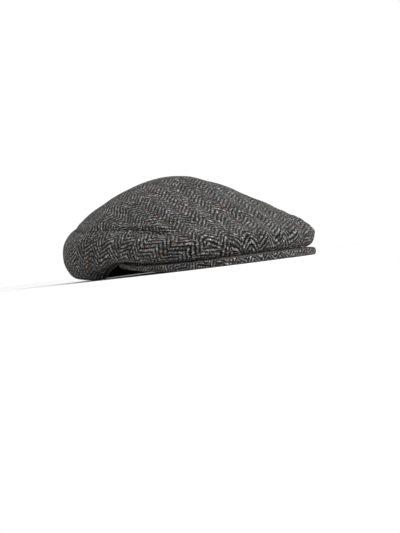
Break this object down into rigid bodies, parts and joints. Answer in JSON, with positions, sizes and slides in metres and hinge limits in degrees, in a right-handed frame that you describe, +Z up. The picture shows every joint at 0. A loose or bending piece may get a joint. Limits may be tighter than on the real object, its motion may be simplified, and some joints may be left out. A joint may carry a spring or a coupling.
{
  "type": "flat cap",
  "caption": "Soft grey herringbone tweed flat cap with a panelled crown sewn down over a stiff cloth-covered peak, resting on its peak and nape.",
  "frame": {"origin": "centre of the bounding box in plan, on the surface that the cap rests on", "axes": "+Z up, -Y towards the peak, +X towards the wearer's left"},
  "size_m": [0.217, 0.2766, 0.0932],
  "materials": {
    "top_panel": "woven herringbone wool tweed, slightly napped",
    "side_panel_right": "woven herringbone wool tweed, slightly napped",
    "side_panel_left": "woven herringbone wool tweed, slightly napped",
    "peak": "herringbone wool tweed drawn over a stiff board",
    "sweatband": "plain dark brown cotton tape"
  },
  "bodies": {
    "root": {"top_panel": "top_panel", "side_panel_right": "side_panel_right", "side_panel_left": "side_panel_left", "peak": "peak", "sweatband": "sweatband"}
  },
  "joints": []
}
